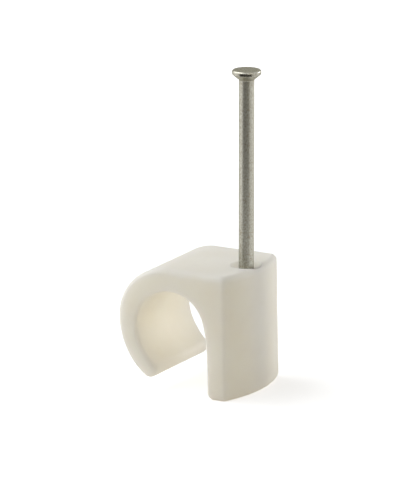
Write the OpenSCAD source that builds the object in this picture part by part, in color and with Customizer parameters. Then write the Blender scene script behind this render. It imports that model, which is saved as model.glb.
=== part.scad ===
// Nail-in cable clip: a moulded plastic hook that holds a round cable against a wall, with a steel
// nail standing part of the way out of its leg, as the clip is sold.
// X runs from the hook to the leg, Y along the cable, Z away from the wall. The origin is on the nail's
// axis, in the plane of the wall.

/* [Cable seat] */
// Diameter of the round seat for the cable
seat_d = 9.9; // [7:0.1:13]
// Height of the seat's axis above the wall
seat_h = 8.85; // [8:0.05:11]
// Angle at which the seat leaves its circle on the hook's side, counted from the leg
seat_wrap = 192; // [180:1:200]
// Length of the clip along the cable
clip_l = 15.2; // [10:0.1:20]
// Width of the mouth between the hook's tip and the leg
mouth_w = 7.4; // [6.5:0.1:8.5]
// Lean of the leg's inner face, so that the mouth widens towards the wall
mouth_lean = 3.5; // [1:0.5:5]

/* [Hook] */
// Thickness of the roof above the seat
roof_t = 2.95; // [2:0.05:4]
// Thickness of the hook beside the seat
hook_t = 2.7; // [2:0.05:4]
// Outer radius of the shoulder between the roof and the hook
shoulder_r = 7; // [6:0.1:8]
// Radius of the hook's rounded tip
tip_r = 1.15; // [0.9:0.05:1.4]
// Gap between the hook's tip and the wall
tip_gap = 1.8; // [1:0.05:2.5]

/* [Leg] */
// Plastic between the nail's axis and the seat
leg_in = 2.45; // [2:0.05:3.5]
// Plastic between the nail's axis and the crown of the outer face
leg_out = 2.3; // [2:0.05:3]
// Radius of the curved outer face, seen along the nail
leg_bow_r = 19; // [14:0.5:30]

/* [Edges] */
// Rounding of the outer edges
edge_r = 0.8; // [0.6:0.05:0.9]
// Rounding of the seat's edges
rim_r = 0.5; // [0.3:0.05:0.6]
// Rounding of the foot's edges at the wall
foot_r = 0.5; // [0.3:0.05:0.55]

/* [Nail] */
// Diameter of the nail's shank
nail_d = 2; // [1.6:0.1:2.4]
// Length of the nail
nail_l = 35; // [30:0.5:40]
// How far the nail stands out of the clip as sold
nail_rise = 26.2; // [20:0.1:27]
// Diameter of the nail's head
head_d = 3.9; // [3.4:0.1:4.5]
// Height of the head's rim
head_rim_h = 0.55; // [0.3:0.05:0.7]
// Height of the cone under the head
head_cone_h = 0.8; // [0.4:0.05:1]
// Chamfer on the head's top edge
head_chamfer = 0.1; // [0.05:0.05:0.2]
// Length of the nail's point
point_l = 3.5; // [2:0.1:5]
// Radius of the blunt end of the point
point_r = 0.12; // [0.05:0.01:0.2]
// Clearance around the shank in the leg
nail_fit = 0.05; // [0.02:0.01:0.1]
// Diameter of the sunk mouth of the nail's hole
sink_d = 3.5; // [3:0.1:3.8]

/* [Hidden] */
$fn = 96;

// Overshoot of a cut past the face that it opens
over = 1;
// How far a face stands past the one that it runs into, so that the two cross at a clear angle
clear_step = 0.015;
// How far a rounding runs on past the end of its arc, until it has run out of the body
fade = 30;
// How much of its radius a rounding reaches into the body, just short of the whole
bite = 0.98;

half_l = clip_l / 2;
seat_r = seat_d / 2;
seat_x = -leg_in - seat_r;
face_r = seat_r - clear_step;
clip_h = seat_h + seat_r + roof_t;
hook_x = seat_x - seat_r - hook_t;
nail_r = nail_d / 2;
head_r = head_d / 2;
bore_r = nail_r + nail_fit;
sink_r = sink_d / 2;

function polar(r, a) = r * [cos(a), sin(a)];
function bearing(v) = (atan2(v[1], v[0]) + 360) % 360;
// X of the leg's inner face at height z
function leg_face(z) =
    seat_x + face_r * cos(mouth_lean) + (seat_h - face_r * sin(mouth_lean) - z) * tan(mouth_lean);

// Outlines across the cable, as [x, z]
seat_c = [seat_x, seat_h];
shoulder_c = [hook_x + shoulder_r, clip_h - shoulder_r];
tip_z = tip_gap + tip_r;
tip_c = [leg_face(tip_z) - mouth_w - tip_r, tip_z];

// The hook's outside below the shoulder: one arc, level with the shoulder's at the widest point and
// running into the round tip from outside
to_tip = tip_c - [hook_x, shoulder_c[1]];
tip_reach = tip_r - clear_step;
jaw_r = (to_tip * to_tip - tip_reach * tip_reach) / (2 * (to_tip[0] - tip_reach));
jaw_c = [hook_x + jaw_r, shoulder_c[1]];
jaw_end = bearing(tip_c - jaw_c);

// The hook's inside below the seat: one arc, just outside the seat's circle where it takes over from it
// and touching the round tip from inside
wrap_dir = polar(1, seat_wrap);
wrap_r = seat_r + clear_step;
from_seat = tip_c - seat_c;
throat_r = (from_seat * from_seat - 2 * wrap_r * (from_seat * wrap_dir) + wrap_r * wrap_r - tip_r * tip_r)
    / (2 * (wrap_r + tip_r - from_seat * wrap_dir));
throat_c = seat_c + (wrap_r - throat_r) * wrap_dir;
throat_end = bearing(tip_c - throat_c);

// The leg's outer face in plan: one bow between two rounded corners
bow_x = leg_out - leg_bow_r;
bow_half = asin((half_l - edge_r) / (leg_bow_r - edge_r));
corner_x = bow_x + (leg_bow_r - edge_r) * cos(bow_half);

// Sunk mouth of the nail's hole, with the slope of the cone under the head
sink_depth = (sink_r - bore_r) * head_cone_h / (head_r - nail_r);

// Turns [x, z] outlines so that they stand across the cable
module across() {
    rotate([90, 0, 0]) children();
}

// Turns a section about a centre of the outline, from one angle to another
module around(c, from, to) {
    translate(c)
        rotate([0, 0, from])
            rotate_extrude(angle = to - from) children();
}

// What is cut from a straight corner at the origin, whose body lies below and to the left
module edge_cut(r) {
    reach = bite * r;
    translate([-reach, -reach])
        difference() {
            square(reach + over);
            circle(r);
        }
}

// Hook, roof and leg without the opening, as an outline
module outer_outline() {
    translate([shoulder_c[0], 0]) square([leg_out + over - shoulder_c[0], clip_h]);
    intersection() {
        translate(shoulder_c) circle(shoulder_r);
        translate([hook_x - over, shoulder_c[1]]) square([shoulder_r + over, shoulder_r + over]);
    }
    intersection() {
        translate(jaw_c) circle(jaw_r);
        polygon([
            jaw_c,
            [hook_x - over, jaw_c[1]],
            [hook_x - over, tip_c[1] - over],
            jaw_c + polar(2 * jaw_r, jaw_end)
        ]);
    }
    translate(tip_c) circle(tip_r);
}

// Open space for the cable and its mouth, as an outline
module opening_outline() {
    foot = [leg_face(0) + foot_r, 0];
    translate(seat_c) circle(seat_r);
    intersection() {
        translate(throat_c) circle(throat_r);
        polygon([
            seat_c,
            seat_c + polar(2 * throat_r, seat_wrap),
            [hook_x, -over],
            [seat_x, -over]
        ]);
    }
    difference() {
        polygon([
            seat_c,
            throat_c + polar(throat_r - over, throat_end),
            tip_c,
            [tip_c[0], -over],
            [leg_face(-over), -over],
            seat_c + polar(face_r, -mouth_lean)
        ]);
        translate(tip_c) circle(tip_r);
    }
    polygon([
        foot + over * [1, -1],
        foot + (foot_r + over) * [-1, 1],
        foot - [foot_r + over, over]
    ]);
}

// Leg's outer side as a plan: one bow between two rounded corners
module plan() {
    difference() {
        intersection() {
            translate([bow_x, 0]) circle(leg_bow_r);
            translate([hook_x - over, -half_l]) square([leg_out + over - hook_x + over, clip_l]);
        }
        for (side = [0, 1])
            mirror([0, side])
                difference() {
                    translate([corner_x, -half_l - over]) square([edge_r + over, over + edge_r / 2]);
                    translate([corner_x, edge_r - half_l]) circle(edge_r);
                }
    }
}

// Rounding of the edges along the top of the clip
module top_edges() {
    for (side = [0, 1])
        mirror([0, side])
            translate([shoulder_c[0], half_l, clip_h])
                rotate([90, 0, 90]) linear_extrude(leg_out + over - shoulder_c[0]) edge_cut(edge_r);
    around([bow_x, 0], -2 * bow_half, 2 * bow_half) translate([leg_bow_r, clip_h]) edge_cut(edge_r);
}

// Rounding of the hook's outer edge and of the seat's edge, at both ends of the clip
module end_edges() {
    for (end = [0, 1])
        mirror([0, 0, end]) {
            around(shoulder_c, 90, 180) translate([shoulder_r, half_l]) edge_cut(edge_r);
            around(jaw_c, 180, jaw_end + fade / 2) translate([jaw_r, half_l]) edge_cut(edge_r);
            around(seat_c, -mouth_lean - fade, seat_wrap + 2 * fade)
                translate([seat_r, half_l]) mirror([1, 0]) edge_cut(rim_r);
        }
}

// Rounding of the foot's edges at the wall
module foot_edges() {
    for (side = [0, 1])
        mirror([0, side])
            translate([leg_face(0) - over, half_l, 0])
                rotate([90, 0, 90])
                    linear_extrude(leg_out + 2 * over - leg_face(0)) mirror([0, 1]) edge_cut(foot_r);
    around([bow_x, 0], -2 * bow_half, 2 * bow_half) translate([leg_bow_r, 0]) mirror([0, 1]) edge_cut(foot_r);
}

// Hole for the nail, right through the leg, with its sunk mouth
module nail_hole() {
    translate([0, 0, -over]) cylinder(h = clip_h + 2 * over, r = bore_r);
    translate([0, 0, clip_h - sink_depth])
        cylinder(h = 2 * sink_depth, r1 = bore_r, r2 = 2 * sink_r - bore_r);
}

module clip_body() {
    color([0.90, 0.87, 0.80])
        difference() {
            intersection() {
                across() linear_extrude(clip_l, center = true) difference() {
                    outer_outline();
                    opening_outline();
                }
                linear_extrude(3 * clip_h, center = true) plan();
            }
            top_edges();
            foot_edges();
            across() end_edges();
            nail_hole();
        }
}

module nail() {
    head_top = clip_h + nail_rise;
    rim_low = head_top - head_rim_h;
    cone_low = rim_low - head_cone_h;
    point = head_top - nail_l;
    color([0.58, 0.58, 0.54])
        rotate_extrude()
            polygon([
                [0, point],
                [point_r, point],
                [nail_r, point + point_l],
                [nail_r, cone_low],
                [head_r, rim_low],
                [head_r, head_top - head_chamfer],
                [head_r - head_chamfer, head_top],
                [0, head_top]
            ]);
}

clip_body();
nail();
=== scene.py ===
"""Nail-in cable clip: the moulded clip, its steel nail and the stage they are photographed on."""

import math

import bmesh
import bpy
from bpy.props import FloatProperty, FloatVectorProperty, IntProperty, PointerProperty
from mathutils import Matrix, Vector


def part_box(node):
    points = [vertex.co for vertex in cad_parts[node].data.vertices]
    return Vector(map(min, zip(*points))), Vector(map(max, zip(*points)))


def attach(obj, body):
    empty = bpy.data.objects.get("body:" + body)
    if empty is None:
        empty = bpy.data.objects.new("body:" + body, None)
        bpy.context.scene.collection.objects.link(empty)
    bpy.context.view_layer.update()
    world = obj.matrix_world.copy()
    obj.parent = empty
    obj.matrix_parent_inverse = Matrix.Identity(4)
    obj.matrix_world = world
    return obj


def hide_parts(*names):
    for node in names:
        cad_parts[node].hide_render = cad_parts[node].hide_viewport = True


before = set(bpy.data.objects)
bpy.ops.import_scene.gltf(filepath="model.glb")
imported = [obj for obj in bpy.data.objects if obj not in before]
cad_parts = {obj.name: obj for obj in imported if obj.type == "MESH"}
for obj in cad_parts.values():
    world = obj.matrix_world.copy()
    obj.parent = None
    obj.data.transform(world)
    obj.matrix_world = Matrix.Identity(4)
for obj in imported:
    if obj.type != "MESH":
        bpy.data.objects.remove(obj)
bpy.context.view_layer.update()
clip_low, clip_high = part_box("clip_body")
nail_low, nail_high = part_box("nail")

bl_info = {
    "name": "Nail-in cable clip",
    "version": (1, 0, 0),
    "blender": (4, 5, 0),
    "location": "3D View > Sidebar > Cable clip",
    "description": "Moulded clip with its steel nail, and the stage to photograph them on",
    "category": "Object",
}

MM = 0.001


def length(label, text, value, low, high):
    """A length in metres that is given here in millimetres."""
    return FloatProperty(
        name=label,
        description=text,
        default=value * MM,
        min=low * MM,
        max=high * MM,
        unit="LENGTH",
        precision=5,
    )


def share(label, text, value):
    return FloatProperty(name=label, description=text, default=value, min=0.0, max=1.0, subtype="FACTOR")


def colour(label, text, value):
    return FloatVectorProperty(
        name=label, description=text, default=value, min=0.0, max=1.0, size=3, subtype="COLOR"
    )


class ClipSizes(bpy.types.PropertyGroup):
    """Sizes of the moulded clip that its finished surface needs beyond the solid's own box."""

    seat_r: length("Seat radius", "Radius of the round seat for the cable", 4.95, 3.5, 6.5)
    seat_x: length("Seat centre", "Distance of the seat's axis from the nail's axis", 7.4, 6.0, 9.0)
    seat_h: length("Seat height", "Height of the seat's axis above the wall", 8.85, 8.0, 11.0)
    shoulder_r: length("Shoulder radius", "Outer radius between the roof and the hook", 6.85, 6.0, 8.0)
    tip_r: length("Tip radius", "Radius of the hook's rounded tip", 1.15, 0.8, 1.4)
    tip_x: length("Tip centre", "Distance of the tip's centre from the nail's axis", 10.61, 9.0, 12.0)
    tip_h: length("Tip height", "Height of the tip's centre above the wall", 2.95, 2.0, 4.0)
    leg_out: length("Leg crown", "Distance of the outer face's crown from the nail's axis", 2.17, 1.8, 2.6)
    foot_grow: length("Foot growth", "How far the outer face leans out at the foot", 0.31, 0.0, 0.4)
    bow_r: length("Bow radius", "Radius of the leg's curved outer face in plan", 19.0, 12.0, 30.0)
    corner_r: length("Corner radius", "Rounding of the leg's two upright corners", 0.6, 0.4, 1.2)
    top_r: length("Top edge radius", "Rounding along the top of the leg's outer face", 0.82, 0.4, 1.2)
    end_r: length("End edge radius", "Rounding of the roof's edges at both ends", 0.85, 0.4, 0.9)
    hook_r: length("Hook edge radius", "Rounding of the hook's outer edges", 0.6, 0.4, 0.9)
    rim_r: length("Rim radius", "Rounding of the seat's edges on the hook's side", 0.5, 0.2, 0.8)
    leg_rim_r: length("Leg rim radius", "Rounding of the seat's edges on the leg's side", 0.42, 0.2, 0.7)
    face_rim_r: length("Face rim radius", "Rounding beside the leg's inner face", 0.6, 0.2, 0.7)
    foot_r: length("Foot radius", "Rounding of the foot's outer edge at the wall", 0.55, 0.2, 0.6)
    foot_in_r: length("Inner foot radius", "Rounding of the foot's inner edge at the wall", 0.9, 0.2, 1.2)
    blend_r: length("Blend radius", "Radius of the blend into the leg's inner face", 24.0, 10.0, 40.0)
    hole_r: length("Hole radius", "Radius of the nail's hole through the leg", 1.05, 0.9, 1.3)
    sink_r: length("Sink radius", "Radius of the sunk mouth of the nail's hole", 1.95, 1.4, 2.2)
    sink_depth: length("Sink depth", "Depth of the sunk mouth of the nail's hole", 0.59, 0.2, 0.8)
    seat_wrap: FloatProperty(
        name="Seat wrap",
        description="Angle at which the seat leaves its circle on the hook's side",
        default=math.radians(192),
        subtype="ANGLE",
    )
    mouth_lean: FloatProperty(
        name="Mouth lean",
        description="Lean of the leg's inner face",
        default=math.radians(2.3),
        subtype="ANGLE",
    )


class NailSizes(bpy.types.PropertyGroup):
    """Sizes of the steel nail."""

    shank_r: length("Shank radius", "Radius of the nail's shank", 1.0, 0.8, 1.2)
    head_r: length("Head radius", "Radius of the nail's head", 1.9, 1.6, 2.2)
    head_rim_h: length("Head rim", "Height of the head's rim", 0.55, 0.3, 0.7)
    head_cone_h: length("Head cone", "Height of the cone under the head", 0.76, 0.4, 1.0)
    head_edge_r: length("Head edge", "Rounding of the head's top edge", 0.2, 0.05, 0.3)
    neck_r: length("Neck rounding", "Rounding where the shank meets the cone", 0.15, 0.1, 0.6)
    point_l: length("Point length", "Length of the nail's point", 3.5, 2.0, 5.0)
    point_r: length("Point radius", "Radius of the blunt end of the point", 0.12, 0.05, 0.2)
    mark_h: length("Mark height", "Height of the fine ring marked round the shank", 21.3, 18.0, 40.0)
    sides: IntProperty(name="Sides", description="Faces around the nail", default=72, min=24, max=128)


class Finishes(bpy.types.PropertyGroup):
    """Colours of the two materials."""

    plastic: colour("Plastic", "Main colour of the moulded plastic", (0.942, 0.896, 0.81))
    plastic_shade: colour("Plastic shade", "Slightly darker clouds in the plastic", (0.925, 0.877, 0.789))
    zinc: colour("Zinc", "Bright patches of the plating", (0.465, 0.458, 0.402))
    zinc_dull: colour("Dull zinc", "Dull patches of the plating", (0.37, 0.36, 0.308))
    # The tarnish colour is the plating's own dull brown in the mottling and the fine ring, and it also paints
    # the shade under the nail's head.
    tarnish_and_neck_shade: colour("Tarnish", "Brown tinge below the head and in the mottling", (0.285, 0.255, 0.195))


class StageSettings(bpy.types.PropertyGroup):
    """Light and backdrop."""

    fill: share("Fill", "Strength of the even light from all round", 0.0)
    backdrop: colour("Backdrop", "Colour of the floor and of the world behind it", (1.0, 1.0, 1.0))
    bounce: colour("Bounce", "Colour of the light that the floor throws up at the clip", (1.0, 0.87, 0.66))
    card: colour("Card", "Colour of the card that the nail mirrors towards the camera", (0.06, 0.057, 0.048))


class CableClip(bpy.types.PropertyGroup):
    """All settings of the cable clip."""

    clip: PointerProperty(type=ClipSizes)
    nail: PointerProperty(type=NailSizes)
    finish: PointerProperty(type=Finishes)
    stage: PointerProperty(type=StageSettings)


def add_node(tree, kind, place, values=None, **settings):
    """A node of a tree with its settings, and its input values by name or number."""
    node = tree.nodes.new(kind)
    node.location = place
    for key, value in settings.items():
        setattr(node, key, value)
    for key, value in (values or {}).items():
        node.inputs[key].default_value = value
    return node


def noise(tree, place, scale, detail, roughness):
    """A noise texture with its three settings."""
    values = {"Scale": scale, "Detail": detail, "Roughness": roughness}
    return add_node(tree, "ShaderNodeTexNoise", place, values)


def map_range(tree, place, source, target):
    """A node that maps one range of values to another."""
    values = {"From Min": source[0], "From Max": source[1], "To Min": target[0], "To Max": target[1]}
    return add_node(tree, "ShaderNodeMapRange", place, values)


def set_ramp(node, stops):
    """Gives a colour ramp its stops, as (position, colour)."""
    ramp = node.color_ramp
    while len(ramp.elements) > 1:
        ramp.elements.remove(ramp.elements[-1])
    for k, (position, value) in enumerate(stops):
        stop = ramp.elements[0] if k == 0 else ramp.elements.new(position)
        stop.position = position
        stop.color = (*value, 1.0)


def new_material(name):
    material = bpy.data.materials.new(name)
    material.use_nodes = True
    tree = material.node_tree
    tree.nodes.clear()
    shader = add_node(tree, "ShaderNodeBsdfPrincipled", (600, 0))
    out = add_node(tree, "ShaderNodeOutputMaterial", (900, 0))
    tree.links.new(shader.outputs["BSDF"], out.inputs["Surface"])
    coords = add_node(tree, "ShaderNodeTexCoord", (-900, 0))
    return material, tree, shader, coords.outputs["Object"]


NOISE_SPAN = (0.3, 0.7)
CLOUD_SCALE = 260.0
CLOUD_STOPS = (0.35, 0.65)
GRAIN_SCALE = 2600.0
GRAIN_STRENGTH = 0.10
GRAIN_DEPTH = 0.02 * MM
PLASTIC_ROUGHNESS = (0.50, 0.62)
PLASTIC_IOR = 1.49
PLASTIC_SPECULAR = 0.2
SCATTER_RADIUS = (1.0, 1.0, 0.95)
SCATTER_SCALE = 3.0 * MM


def cream_plastic(finish):
    """Slightly translucent cream plastic with the fine grain of its mould."""
    material, tree, shader, coords = new_material("cream_plastic")
    link = tree.links.new
    clouds = noise(tree, (-600, 250), scale=CLOUD_SCALE, detail=4.0, roughness=0.55)
    link(coords, clouds.inputs["Vector"])
    tones = add_node(tree, "ShaderNodeValToRGB", (-300, 250))
    set_ramp(tones, zip(CLOUD_STOPS, (finish.plastic_shade, finish.plastic)))
    link(clouds.outputs["Fac"], tones.inputs["Fac"])
    link(tones.outputs["Color"], shader.inputs["Base Color"])
    grain = noise(tree, (-600, -50), scale=GRAIN_SCALE, detail=3.0, roughness=0.6)
    link(coords, grain.inputs["Vector"])
    gloss = map_range(tree, (-300, -50), NOISE_SPAN, PLASTIC_ROUGHNESS)
    link(grain.outputs["Fac"], gloss.inputs["Value"])
    link(gloss.outputs["Result"], shader.inputs["Roughness"])
    relief = {"Strength": GRAIN_STRENGTH, "Distance": GRAIN_DEPTH}
    bump = add_node(tree, "ShaderNodeBump", (300, -250), relief)
    link(grain.outputs["Fac"], bump.inputs["Height"])
    link(bump.outputs["Normal"], shader.inputs["Normal"])
    shader.inputs["IOR"].default_value = PLASTIC_IOR
    shader.inputs["Specular IOR Level"].default_value = PLASTIC_SPECULAR
    shader.inputs["Subsurface Weight"].default_value = 1.0
    shader.inputs["Subsurface Radius"].default_value = SCATTER_RADIUS
    shader.inputs["Subsurface Scale"].default_value = SCATTER_SCALE
    return material


MOTTLE_SCALE = 6000.0
MOTTLE_STRETCH = (1.0, 1.0, 0.6)
MOTTLE_STOPS = (0.32, 0.46, 0.62)
MOTTLE_STRENGTH = 0.35
MOTTLE_DEPTH = 0.03 * MM
ZINC_ROUGHNESS = (0.44, 0.32)
HEAD_POLISH = 0.18
HEAD_START = 0.1 * MM
# Painted shade under the nail's head: round the neck the plating is darkened towards the tarnish colour,
# rising from below the neck and fading up the cone.
NECK_SHADE = 0.3
NECK_SHADE_RISE = (-0.9 * MM, 0.1 * MM)
NECK_SHADE_FALL = (0.3 * MM, 0.8 * MM)
MARK_HALF = 0.06 * MM
MARK_DEPTH = 0.5


def zinc_plating(finish, neck_z, rim_z, mark_z):
    """Dull mottled zinc on a drawn steel nail, with a fine ring, and with painted shade that darkens it brown
    under the head.
    """
    material, tree, shader, coords = new_material("zinc_plating")
    link = tree.links.new
    stretch = add_node(tree, "ShaderNodeMapping", (-750, 200), {"Scale": MOTTLE_STRETCH})
    link(coords, stretch.inputs["Vector"])
    patches = noise(tree, (-550, 350), scale=MOTTLE_SCALE, detail=3.0, roughness=0.6)
    link(stretch.outputs["Vector"], patches.inputs["Vector"])
    tones = add_node(tree, "ShaderNodeValToRGB", (-300, 350))
    set_ramp(tones, zip(MOTTLE_STOPS, (finish.tarnish_and_neck_shade, finish.zinc_dull, finish.zinc)))
    link(patches.outputs["Fac"], tones.inputs["Fac"])
    height = add_node(tree, "ShaderNodeSeparateXYZ", (-550, 100))
    link(coords, height.inputs["Vector"])
    # Painted shade under the head: a band round the neck that rises below it and fades up the cone.
    shade_rising = map_range(tree, (-300, 100), [neck_z + d for d in NECK_SHADE_RISE], (0.0, NECK_SHADE))
    link(height.outputs["Z"], shade_rising.inputs["Value"])
    shade_fading = map_range(tree, (-300, -100), [neck_z + d for d in NECK_SHADE_FALL], (1.0, 0.0))
    link(height.outputs["Z"], shade_fading.inputs["Value"])
    tinge = add_node(tree, "ShaderNodeMath", (-80, 50), operation="MULTIPLY")
    link(shade_rising.outputs["Result"], tinge.inputs[0])
    link(shade_fading.outputs["Result"], tinge.inputs[1])
    ring = add_node(tree, "ShaderNodeMath", (-300, -200), {1: mark_z, 2: MARK_HALF}, operation="COMPARE")
    link(height.outputs["Z"], ring.inputs[0])
    # The fine ring is a real mark; the painted shade under the head is added to it.
    ring_and_neck_shade = add_node(tree, "ShaderNodeMath", (0, 50), {1: MARK_DEPTH}, operation="MULTIPLY_ADD")
    link(ring.outputs["Value"], ring_and_neck_shade.inputs[0])
    link(tinge.outputs["Value"], ring_and_neck_shade.inputs[2])
    mix = add_node(tree, "ShaderNodeMix", (150, 250), data_type="RGBA")
    link(ring_and_neck_shade.outputs["Value"], mix.inputs["Factor"])
    link(tones.outputs["Color"], mix.inputs["A"])
    mix.inputs["B"].default_value = (*finish.tarnish_and_neck_shade, 1.0)
    link(mix.outputs["Result"], shader.inputs["Base Color"])
    gloss = map_range(tree, (-300, -300), NOISE_SPAN, ZINC_ROUGHNESS)
    link(patches.outputs["Fac"], gloss.inputs["Value"])
    on_head = map_range(tree, (-300, -550), (rim_z - HEAD_START, rim_z), (0.0, HEAD_POLISH))
    link(height.outputs["Z"], on_head.inputs["Value"])
    smooth = add_node(tree, "ShaderNodeMath", (-80, -350), operation="SUBTRACT")
    link(gloss.outputs["Result"], smooth.inputs[0])
    link(on_head.outputs["Result"], smooth.inputs[1])
    link(smooth.outputs["Value"], shader.inputs["Roughness"])
    relief = {"Strength": MOTTLE_STRENGTH, "Distance": MOTTLE_DEPTH}
    bump = add_node(tree, "ShaderNodeBump", (300, -300), relief)
    link(patches.outputs["Fac"], bump.inputs["Height"])
    link(bump.outputs["Normal"], shader.inputs["Normal"])
    shader.inputs["Metallic"].default_value = 1.0
    shader.inputs["Specular Tint"].default_value = (*finish.zinc, 1.0)
    return material


def new_object(name, mesh):
    piece = bpy.data.objects.new(name, mesh)
    bpy.context.scene.collection.objects.link(piece)
    return piece


def polar(r, a):
    return Vector((r * math.cos(a), r * math.sin(a)))


def bearing(v):
    return math.atan2(v.y, v.x) % math.tau


class EdgePoint:
    """A point of the clip's outline across the cable, with its outward normal and its end rounding."""

    def __init__(self, place, normal, end_r, bowed=False):
        self.place = place
        self.normal = normal
        self.end_r = end_r
        self.bowed = bowed


ARC_STEP = math.radians(4)
FLAT_STEP = 0.8 * MM
FLAT_EDGE = 0.12 * MM
SEAT_CREST = math.radians(75)
BLEND_START = math.radians(12)
FOOT_END_SHARE = 0.8
TIP_END_SHARE = 0.7


def arc(centre, r, start, end, end_r, hollow=False, bowed=False):
    """Points of an arc. A hollow arc has its material outside the circle."""
    count = max(8, math.ceil(abs(end - start) / ARC_STEP))
    side = -1 if hollow else 1
    return [
        EdgePoint(centre + polar(r, a), side * polar(1, a), end_r, bowed)
        for a in (start + (end - start) * k / count for k in range(count + 1))
    ]


def flat(a, b, end_r, bowed=False):
    """Points between two points of the outline, close to each end and then evenly spaced."""
    way = b - a
    size = way.length
    along = way / size
    normal = Vector((along.y, -along.x))
    inner = size - 2 * FLAT_EDGE
    count = max(1, math.ceil(inner / FLAT_STEP))
    steps = [FLAT_EDGE + inner * k / count for k in range(count + 1)]
    return [EdgePoint(a + s * along, normal, end_r, bowed) for s in steps]


def clip_outline(s):
    """The clip's outline across the cable, once round, with the leg's outer face counted from its bow."""
    height = clip_high.z
    hook_x = clip_low.x
    seat = Vector((-s.seat_x, s.seat_h))
    shoulder = Vector((hook_x + s.shoulder_r, height - s.shoulder_r))
    tip = Vector((-s.tip_x, s.tip_h))

    # The hook's outside below the shoulder is one arc that runs into the round tip
    to_tip = tip - Vector((hook_x, shoulder.y))
    jaw_r = (to_tip.length_squared - s.tip_r**2) / (2 * (to_tip.x - s.tip_r))
    jaw = Vector((hook_x + jaw_r, shoulder.y))
    jaw_end = bearing(tip - jaw)

    # The hook's inside below the seat is one arc between the seat's circle and the round tip
    wrap = polar(1, s.seat_wrap)
    from_seat = tip - seat
    along_wrap = from_seat.dot(wrap)
    throat_r = (from_seat.length_squared - 2 * s.seat_r * along_wrap + s.seat_r**2 - s.tip_r**2) / (
        2 * (s.seat_r + s.tip_r - along_wrap)
    )
    throat = seat + (s.seat_r - throat_r) * wrap
    throat_end = bearing(tip - throat)

    # The leg's inner face leaves the seat in a long blend and leans straight down to the rounded foot
    lean = s.mouth_lean
    blend = seat - polar(s.blend_r - s.seat_r, BLEND_START)
    face_top = blend + polar(s.blend_r, lean)
    foot_x = face_top.x + (face_top.y - s.foot_in_r) * math.tan(lean)
    foot = Vector((foot_x + s.foot_in_r / math.cos(lean), s.foot_in_r))
    foot_end_r = FOOT_END_SHARE * s.foot_r
    foot_out = Vector((s.foot_grow - s.foot_r, s.foot_r))
    top_out = Vector((-s.top_r, height - s.top_r))
    bow_end = bow_x(s, clip_high.y)

    loop = arc(foot, s.foot_in_r, math.pi + lean, 1.5 * math.pi, foot_end_r)
    loop += flat(Vector((foot.x, 0)), Vector((bow_end + foot_out.x, 0)), foot_end_r)
    loop += arc(foot_out, s.foot_r, -math.pi / 2, 0, foot_end_r, bowed=True)
    loop += flat(foot_out + Vector((s.foot_r, 0)), top_out + Vector((s.top_r, 0)), s.end_r, bowed=True)
    loop += arc(top_out, s.top_r, 0, math.pi / 2, s.end_r, bowed=True)
    loop += flat(Vector((bow_end + top_out.x, height)), Vector((shoulder.x, height)), s.end_r)
    loop += arc(shoulder, s.shoulder_r, math.pi / 2, math.pi, s.hook_r)
    loop += arc(jaw, jaw_r, math.pi, jaw_end, s.hook_r)[1:]
    loop += arc(tip, s.tip_r, jaw_end, throat_end + math.pi, TIP_END_SHARE * s.tip_r)[1:]
    loop += arc(throat, throat_r, throat_end, s.seat_wrap, s.rim_r, hollow=True)[1:]
    loop += arc(seat, s.seat_r, s.seat_wrap, SEAT_CREST, s.rim_r, hollow=True)[1:]
    loop += arc(seat, s.seat_r, SEAT_CREST, BLEND_START, s.leg_rim_r, hollow=True)[1:]
    loop += arc(blend, s.blend_r, BLEND_START, lean, s.face_rim_r, hollow=True)[1:]
    loop += flat(face_top, foot - polar(s.foot_in_r, lean), s.face_rim_r)
    return loop


def bow_x(s, y):
    """X of the leg's outer face at the top, at a place along the cable."""
    half = clip_high.y
    centre = s.leg_out - s.bow_r
    inner = s.bow_r - s.corner_r
    reach = half - s.corner_r
    corner = centre + math.sqrt(inner**2 - reach**2)
    turn = reach * s.bow_r / inner
    y = min(abs(y), half)
    if y <= turn:
        return centre + math.sqrt(s.bow_r**2 - y**2)
    return corner + math.sqrt(max(s.corner_r**2 - (y - reach) ** 2, 0.0))


ROUND_STEPS = 10
MID_SLICES = 44
CAP_INSET = 0.05 * MM
BLEND_REACH = 2.0 * MM


def eased_rounding(loop):
    """The end rounding of each point, eased over a short stretch of the outline where it changes."""
    places = [p.place for p in loop]
    total = len(loop)
    eased = []
    for k in range(total):
        weight_sum = 0.0
        value_sum = 0.0
        for way in (1, -1):
            run = 0.0
            for step in range(total):
                here = (k + way * step) % total
                if step:
                    run += (places[here] - places[(here - way) % total]).length
                if run > BLEND_REACH:
                    break
                weight = 1 - run / BLEND_REACH
                weight_sum += weight
                value_sum += weight * loop[here].end_r
        eased.append(value_sum / weight_sum)
    return eased


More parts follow.
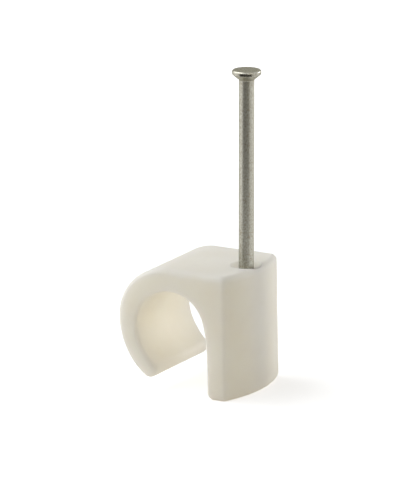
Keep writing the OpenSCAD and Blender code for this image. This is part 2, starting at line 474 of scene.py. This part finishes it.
def clip_mesh(s):
    """The clip's surface: slices of its outline from one end to the other, rounded at both ends."""
    loop = clip_outline(s)
    rounding = eased_rounding(loop)
    half = clip_high.y
    mesh = bmesh.new()

    def ring(where):
        row = []
        for point, r in zip(loop, rounding):
            y, inset = where(r)
            x = point.place.x
            z = point.place.y - point.normal.y * inset
            if point.bowed:
                x += bow_x(s, y)
            else:
                x -= point.normal.x * inset
            row.append(mesh.verts.new((x, y, z)))
        return row

    def turned(side, angle):
        return ring(lambda r: (side * (half - r * (1 - math.sin(angle))), r * (1 - math.cos(angle))))

    steps = [math.pi / 2 * k / ROUND_STEPS for k in range(ROUND_STEPS + 1)]
    rows = [ring(lambda r: (-half, r + CAP_INSET))]
    rows += [turned(-1, a) for a in reversed(steps)]
    # The slices stand closer together towards both ends
    for k in range(1, MID_SLICES):
        u = 2 * k / MID_SLICES - 1
        spread = 1.5 * u - 0.5 * u**3
        rows.append(ring(lambda r: (spread * (half - r), 0.0)))
    rows += [turned(1, a) for a in steps]
    rows.append(ring(lambda r: (half, r + CAP_INSET)))

    count = len(loop)
    for low, high in zip(rows, rows[1:]):
        for k in range(count):
            after = (k + 1) % count
            mesh.faces.new((low[k], low[after], high[after], high[k]))
    mesh.faces.new(list(reversed(rows[0])))
    mesh.faces.new(rows[-1])
    bmesh.ops.recalc_face_normals(mesh, faces=mesh.faces)
    return mesh


def turned_mesh(profile, sides):
    """A closed solid turned about Z from (radius, height) points, which start and end on the axis."""
    mesh = bmesh.new()
    rows = []
    for r, z in profile:
        if r == 0:
            rows.append([mesh.verts.new((0, 0, z))])
        else:
            spots = [polar(r, math.tau * k / sides) for k in range(sides)]
            rows.append([mesh.verts.new((v.x, v.y, z)) for v in spots])
    for low, high in zip(rows, rows[1:]):
        for k in range(sides):
            after = (k + 1) % sides
            corners = [low[k % len(low)], low[after % len(low)], high[after % len(high)], high[k % len(high)]]
            mesh.faces.new(list(dict.fromkeys(corners)))
    bmesh.ops.recalc_face_normals(mesh, faces=mesh.faces)
    return mesh


HOLE_SIDES = 72
HOLE_OVER = 1 * MM
LIP_WIDTH = 0.5 * MM
LIP_STEPS = 4
LIP_CLEAR = 0.004 * MM
LIP_FLARE = 0.05 * MM
SMOOTH_LIMIT = math.radians(32)


def hole_profile(s):
    """The nail's hole with its sunk mouth, whose edge is rounded over on to the roof."""
    top = clip_high.z
    slope = s.sink_depth / (s.sink_r - s.hole_r)
    lip_r = s.sink_r - LIP_WIDTH / 2
    points = [(0, -HOLE_OVER), (s.hole_r, -HOLE_OVER), (s.hole_r, top - s.sink_depth)]
    for k in range(LIP_STEPS):
        left = (1 - k / LIP_STEPS) ** 2
        points.append((lip_r + LIP_WIDTH * (1 - left), top - slope * LIP_WIDTH * left))
    edge_r = lip_r + LIP_WIDTH
    points += [(edge_r, top + LIP_CLEAR), (edge_r + LIP_FLARE, top + HOLE_OVER), (0, top + HOLE_OVER)]
    return points


def from_bmesh(name, source):
    mesh = bpy.data.meshes.new(name)
    source.to_mesh(mesh)
    source.free()
    return mesh


def evaluated_mesh(piece):
    """The piece's mesh with its modifiers, as a plain mesh."""
    depsgraph = bpy.context.evaluated_depsgraph_get()
    return bpy.data.meshes.new_from_object(piece.evaluated_get(depsgraph))


class CABLECLIP_OT_moulded_clip(bpy.types.Operator):
    """Make the moulded clip with its rounded edges and the nail's hole"""

    bl_idname = "cable_clip.moulded_clip"
    bl_label = "Moulded clip"

    def execute(self, context):
        settings = context.scene.cable_clip
        piece = new_object("moulded_clip", from_bmesh("moulded_clip", clip_mesh(settings.clip)))
        drill = new_object(
            "hole_drill", from_bmesh("hole_drill", turned_mesh(hole_profile(settings.clip), HOLE_SIDES))
        )
        cut = piece.modifiers.new("hole", "BOOLEAN")
        cut.operation = "DIFFERENCE"
        cut.solver = "EXACT"
        cut.object = drill
        drilled = evaluated_mesh(piece)
        if not drilled.polygons:
            raise RuntimeError("the nail's hole could not be cut in the clip")
        piece.modifiers.clear()
        bpy.data.objects.remove(drill)
        piece.data = drilled
        piece.data.name = "moulded_clip"
        piece.data.materials.clear()
        piece.data.materials.append(cream_plastic(settings.finish))
        piece.data.shade_smooth()
        piece.data.set_sharp_from_angle(angle=SMOOTH_LIMIT)
        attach(piece, "clip")
        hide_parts("clip_body")
        return {"FINISHED"}


SUPPORT = 0.5 * MM
AXIS_RING = 0.1 * MM
POINT_ROUND = 0.05 * MM
RIM_ROUND = 0.08 * MM
FILLET_STEPS = 6
CLOSE_GAP = 0.002 * MM


def turning_tree():
    """Geometry nodes that turn a nail: a profile with rounded corners, swept round a circle."""
    tree = bpy.data.node_groups.new("turned_nail", "GeometryNodeTree")
    tree.interface.new_socket(name="Geometry", in_out="OUTPUT", socket_type="NodeSocketGeometry")
    names = [
        "Point height", "Head height", "Shank radius", "Head radius", "Rim height", "Cone height",
        "Head edge", "Neck rounding", "Point length", "Point radius",
    ]
    for name in names:
        socket = tree.interface.new_socket(name=name, in_out="INPUT", socket_type="NodeSocketFloat")
        socket.subtype = "DISTANCE"
    tree.interface.new_socket(name="Sides", in_out="INPUT", socket_type="NodeSocketInt")
    tree.interface.new_socket(name="Material", in_out="INPUT", socket_type="NodeSocketMaterial")
    link = tree.links.new
    sizes = add_node(tree, "NodeGroupInput", (-1400, 0)).outputs

    def combine(operation, a, b, place):
        node = add_node(tree, "ShaderNodeMath", place, operation=operation)
        for socket, value in zip(node.inputs, (a, b)):
            if isinstance(value, (int, float)):
                socket.default_value = value
            else:
                link(value, socket)
        return node.outputs["Value"]

    bottom, top = sizes["Point height"], sizes["Head height"]
    shank, head = sizes["Shank radius"], sizes["Head radius"]
    rim_low = combine("SUBTRACT", top, sizes["Rim height"], (-1150, 300))
    cone_low = combine("SUBTRACT", rim_low, sizes["Cone height"], (-1150, 150))
    point_top = combine("ADD", bottom, sizes["Point length"], (-1150, 0))
    shank_top = combine("SUBTRACT", cone_low, SUPPORT, (-950, 150))
    shank_low = combine("ADD", point_top, SUPPORT, (-950, 0))
    face_edge = combine("SUBTRACT", head, SUPPORT / 2, (-950, 450))
    corners = [
        (0.0, bottom, 0.0),
        (sizes["Point radius"], bottom, POINT_ROUND),
        (shank, point_top, sizes["Neck rounding"]),
        (shank, shank_low, 0.0),
        (shank, shank_top, 0.0),
        (shank, cone_low, sizes["Neck rounding"]),
        (head, rim_low, RIM_ROUND),
        (head, top, sizes["Head edge"]),
        (face_edge, top, 0.0),
        (0.0, top, 0.0),
    ]
    line = add_node(tree, "GeometryNodeMeshLine", (-700, 400), {"Count": len(corners)})
    number = add_node(tree, "GeometryNodeInputIndex", (-700, 0)).outputs["Index"]
    spots = add_node(tree, "GeometryNodeIndexSwitch", (-300, 200), data_type="VECTOR")
    rounds = add_node(tree, "GeometryNodeIndexSwitch", (-300, -300), data_type="FLOAT")
    for switch in (spots, rounds):
        link(number, switch.inputs["Index"])
        while len(switch.index_switch_items) < len(corners):
            switch.index_switch_items.new()
    for k, (r, z, rounding) in enumerate(corners):
        spot = add_node(tree, "ShaderNodeCombineXYZ", (-550, 500 - 60 * k))
        inward = combine("SUBTRACT", r, AXIS_RING, (-750, 500 - 60 * k))
        link(inward, spot.inputs["X"])
        down = combine("MULTIPLY", z, -1.0, (-750, 470 - 60 * k))
        link(down, spot.inputs["Y"])
        link(spot.outputs["Vector"], spots.inputs[k + 1])
        if isinstance(rounding, float):
            rounds.inputs[k + 1].default_value = rounding
        else:
            link(rounding, rounds.inputs[k + 1])
    placed = add_node(tree, "GeometryNodeSetPosition", (-50, 400))
    link(line.outputs["Mesh"], placed.inputs["Geometry"])
    link(spots.outputs["Output"], placed.inputs["Position"])
    profile = add_node(tree, "GeometryNodeMeshToCurve", (150, 400))
    link(placed.outputs["Geometry"], profile.inputs["Mesh"])
    limits = {"Count": FILLET_STEPS, "Limit Radius": True}
    rounded = add_node(tree, "GeometryNodeFilletCurve", (350, 400), limits, mode="POLY")
    link(profile.outputs["Curve"], rounded.inputs["Curve"])
    link(rounds.outputs["Output"], rounded.inputs["Radius"])
    circle = add_node(
        tree, "GeometryNodeCurvePrimitiveCircle", (350, 150), {"Radius": AXIS_RING}, mode="RADIUS"
    )
    link(sizes["Sides"], circle.inputs["Resolution"])
    turned = add_node(tree, "GeometryNodeCurveToMesh", (550, 300))
    link(circle.outputs["Curve"], turned.inputs["Curve"])
    link(rounded.outputs["Curve"], turned.inputs["Profile Curve"])
    closed = add_node(tree, "GeometryNodeMergeByDistance", (750, 300), {"Distance": CLOSE_GAP})
    link(turned.outputs["Mesh"], closed.inputs["Geometry"])
    real = add_node(tree, "GeometryNodeRealizeInstances", (950, 300))
    link(closed.outputs["Geometry"], real.inputs["Geometry"])
    dressed = add_node(tree, "GeometryNodeSetMaterial", (1150, 300))
    link(real.outputs["Geometry"], dressed.inputs["Geometry"])
    link(sizes["Material"], dressed.inputs["Material"])
    out = add_node(tree, "NodeGroupOutput", (1350, 300))
    link(dressed.outputs["Geometry"], out.inputs["Geometry"])
    return tree


class CABLECLIP_OT_steel_nail(bpy.types.Operator):
    """Turn the steel nail from its sizes with geometry nodes"""

    bl_idname = "cable_clip.steel_nail"
    bl_label = "Steel nail"

    def execute(self, context):
        settings = context.scene.cable_clip
        s = settings.nail
        neck = nail_high.z - s.head_rim_h - s.head_cone_h
        piece = new_object("steel_nail", bpy.data.meshes.new("steel_nail"))
        tree = turning_tree()
        values = {
            "Point height": nail_low.z,
            "Head height": nail_high.z,
            "Shank radius": s.shank_r,
            "Head radius": s.head_r,
            "Rim height": s.head_rim_h,
            "Cone height": s.head_cone_h,
            "Head edge": s.head_edge_r,
            "Neck rounding": s.neck_r,
            "Point length": s.point_l,
            "Point radius": s.point_r,
            "Sides": s.sides,
            "Material": zinc_plating(settings.finish, neck, neck + s.head_cone_h, s.mark_h),
        }
        turning = piece.modifiers.new("turning", "NODES")
        turning.node_group = tree
        for item in tree.interface.items_tree:
            if item.in_out == "INPUT":
                turning[item.identifier] = values[item.name]
        mesh = evaluated_mesh(piece)
        if not mesh.polygons:
            raise RuntimeError("the nail's turning gave no faces")
        piece.modifiers.clear()
        source = bmesh.new()
        source.from_mesh(mesh)
        bmesh.ops.recalc_face_normals(source, faces=source.faces)
        source.to_mesh(mesh)
        source.free()
        piece.data = mesh
        piece.data.name = "steel_nail"
        piece.data.shade_smooth()
        piece.data.set_sharp_from_angle(angle=SMOOTH_LIMIT)
        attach(piece, "nail")
        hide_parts("nail")
        return {"FINISHED"}


def seen_rays(tree, place):
    """One where the camera, a mirror or a clear body sees a surface directly."""
    rays = add_node(tree, "ShaderNodeLightPath", place)
    first = add_node(tree, "ShaderNodeMath", (place[0] + 200, place[1]), operation="MAXIMUM")
    second = add_node(tree, "ShaderNodeMath", (place[0] + 400, place[1]), operation="MAXIMUM")
    tree.links.new(rays.outputs["Is Camera Ray"], first.inputs[0])
    tree.links.new(rays.outputs["Is Glossy Ray"], first.inputs[1])
    tree.links.new(first.outputs["Value"], second.inputs[0])
    tree.links.new(rays.outputs["Is Transmission Ray"], second.inputs[1])
    return second.outputs["Value"]


def white_world(stage):
    world = bpy.data.worlds.new("studio")
    bpy.context.scene.world = world
    world.use_nodes = True
    tree = world.node_tree
    tree.nodes.clear()
    light = add_node(tree, "ShaderNodeBackground", (200, 0))
    light.inputs["Color"].default_value = (*stage.backdrop, 1.0)
    level = add_node(tree, "ShaderNodeMapRange", (0, 0), {"To Min": stage.fill, "To Max": 1.0})
    tree.links.new(seen_rays(tree, (-600, 0)), level.inputs["Value"])
    tree.links.new(level.outputs["Result"], light.inputs["Strength"])
    out = add_node(tree, "ShaderNodeOutputWorld", (400, 0))
    tree.links.new(light.outputs["Background"], out.inputs["Surface"])


FLOOR_HALF = 1.5
FLOOR_DROP = 0.02 * MM
FLOOR_PAPER = (0.8, 0.8, 0.8, 1.0)
FLOOR_GLOW = 0.62
FLOOR_FILL = 0.18


def pale_floor(stage):
    """A pale floor that keeps the clip's soft shadow and throws a little light up at it."""
    mesh = bpy.data.meshes.new("floor")
    ways = [(-1, -1), (1, -1), (1, 1), (-1, 1)]
    corners = [(FLOOR_HALF * x, FLOOR_HALF * y, -FLOOR_DROP) for x, y in ways]
    mesh.from_pydata(corners, [], [(0, 1, 2, 3)])
    material = bpy.data.materials.new("floor_paper")
    material.use_nodes = True
    tree = material.node_tree
    tree.nodes.clear()
    paper = add_node(tree, "ShaderNodeBsdfDiffuse", (0, 100))
    paper.inputs["Color"].default_value = FLOOR_PAPER
    glow = add_node(tree, "ShaderNodeEmission", (0, -100))
    seen = seen_rays(tree, (-900, -100))
    tint = add_node(tree, "ShaderNodeMix", (-200, -300), data_type="RGBA")
    tint.inputs["A"].default_value = (*stage.bounce, 1.0)
    tint.inputs["B"].default_value = (*stage.backdrop, 1.0)
    tree.links.new(seen, tint.inputs["Factor"])
    tree.links.new(tint.outputs["Result"], glow.inputs["Color"])
    level = add_node(tree, "ShaderNodeMapRange", (-200, -100), {"To Min": FLOOR_FILL, "To Max": FLOOR_GLOW})
    tree.links.new(seen, level.inputs["Value"])
    tree.links.new(level.outputs["Result"], glow.inputs["Strength"])
    both = add_node(tree, "ShaderNodeAddShader", (200, 0))
    tree.links.new(paper.outputs["BSDF"], both.inputs[0])
    tree.links.new(glow.outputs["Emission"], both.inputs[1])
    out = add_node(tree, "ShaderNodeOutputMaterial", (400, 0))
    tree.links.new(both.outputs["Shader"], out.inputs["Surface"])
    mesh.materials.append(material)
    floor = new_object("floor", mesh)


CAMERA_TURN = math.radians(28.16)
CAMERA_RISE = math.radians(14.36)
CAMERA_TARGET = Vector((-7.634, 1.406, 18.915)) * MM
CAMERA_DISTANCE = 921 * MM
CAMERA_LENS = 526.0
CAMERA_SENSOR = 36.0


def direction(turn, rise):
    """Unit vector towards a place at an azimuth from the front and a height above the horizon."""
    return Vector((math.sin(turn) * math.cos(rise), -math.cos(turn) * math.cos(rise), math.sin(rise)))


CARD_RADIUS = 70 * MM
CARD_LEFT = math.radians(-62)
CARD_RIGHT = math.radians(44)
CARD_LIFT = 0.5 * MM
CARD_HEIGHT = 45 * MM
CARD_STEPS = 24


def reflection_card(stage):
    """A curved dark card low in front of the nail, for the dark stripe that a bright nail shows."""
    places = []
    for k in range(CARD_STEPS + 1):
        turn = CAMERA_TURN + CARD_LEFT + (CARD_RIGHT - CARD_LEFT) * k / CARD_STEPS
        way = direction(turn, 0) * CARD_RADIUS
        places += [(way.x, way.y, CARD_LIFT), (way.x, way.y, CARD_HEIGHT)]
    faces = [(2 * k, 2 * k + 2, 2 * k + 3, 2 * k + 1) for k in range(CARD_STEPS)]
    mesh = bpy.data.meshes.new("card")
    mesh.from_pydata(places, [], faces)
    material = bpy.data.materials.new("card_felt")
    material.use_nodes = True
    shader = material.node_tree.nodes["Principled BSDF"]
    shader.inputs["Base Color"].default_value = (*stage.card, 1.0)
    shader.inputs["Roughness"].default_value = 1.0
    mesh.materials.append(material)
    card = new_object("card", mesh)
    card.visible_camera = False
    card.visible_diffuse = False
    card.visible_shadow = False


BOX_SIZE = 0.35
BOX_DISTANCE = 0.5


def soft_box(name, turn, rise, power, tint=(1.0, 1.0, 1.0)):
    """A square soft light at an azimuth and height in degrees, turned to the clip."""
    lamp = bpy.data.lights.new(name, "AREA")
    lamp.shape = "SQUARE"
    lamp.size = BOX_SIZE
    lamp.energy = power
    lamp.color = tint
    light = bpy.data.objects.new(name, lamp)
    bpy.context.scene.collection.objects.link(light)
    way = direction(math.radians(turn), math.radians(rise))
    light.location = CAMERA_TARGET + BOX_DISTANCE * way
    light.rotation_euler = way.to_track_quat("Z", "Y").to_euler()


def photo_camera():
    data = bpy.data.cameras.new("camera")
    data.lens = CAMERA_LENS
    data.sensor_width = CAMERA_SENSOR
    camera = bpy.data.objects.new("camera", data)
    bpy.context.scene.collection.objects.link(camera)
    way = direction(CAMERA_TURN, CAMERA_RISE)
    camera.location = CAMERA_TARGET + CAMERA_DISTANCE * way
    camera.rotation_euler = way.to_track_quat("Z", "Y").to_euler()
    bpy.context.scene.camera = camera


class CABLECLIP_OT_stage(bpy.types.Operator):
    """Set up the white floor, the soft lights and the camera"""

    bl_idname = "cable_clip.stage"
    bl_label = "Stage"

    def execute(self, context):
        stage = context.scene.cable_clip.stage
        white_world(stage)
        pale_floor(stage)
        reflection_card(stage)
        soft_box("top_left_light", turn=-100, rise=55, power=1.1)
        soft_box("top_front_light", turn=-40, rise=50, power=0.75)
        soft_box("left_light", turn=-85, rise=15, power=0.62)
        soft_box("low_left_light", turn=-45, rise=8, power=0.3)
        soft_box("low_right_light", turn=60, rise=5, power=0.4, tint=(1.0, 0.91, 0.7))
        soft_box("back_light", turn=147, rise=5, power=1.8)
        photo_camera()
        context.scene.view_settings.view_transform = "Standard"
        return {"FINISHED"}


class CABLECLIP_PT_sidebar(bpy.types.Panel):
    """Sizes, colours and steps of the cable clip"""

    bl_idname = "CABLECLIP_PT_sidebar"
    bl_label = "Cable clip"
    bl_space_type = "VIEW_3D"
    bl_region_type = "UI"
    bl_category = "Cable clip"

    def draw(self, context):
        settings = context.scene.cable_clip
        for group in (settings.clip, settings.nail, settings.finish, settings.stage):
            box = self.layout.box()
            for name in group.__annotations__:
                box.prop(group, name)
        for step in (CABLECLIP_OT_moulded_clip, CABLECLIP_OT_steel_nail, CABLECLIP_OT_stage):
            self.layout.operator(step.bl_idname)


CLASSES = (
    ClipSizes,
    NailSizes,
    Finishes,
    StageSettings,
    CableClip,
    CABLECLIP_OT_moulded_clip,
    CABLECLIP_OT_steel_nail,
    CABLECLIP_OT_stage,
    CABLECLIP_PT_sidebar,
)


def register():
    for cls in CLASSES:
        bpy.utils.register_class(cls)
    bpy.types.Scene.cable_clip = PointerProperty(type=CableClip)


def unregister():
    del bpy.types.Scene.cable_clip
    for cls in reversed(CLASSES):
        bpy.utils.unregister_class(cls)


def main():
    register()
    bpy.ops.cable_clip.moulded_clip()
    bpy.ops.cable_clip.steel_nail()
    bpy.ops.cable_clip.stage()


if __name__ == "__main__":
    main()
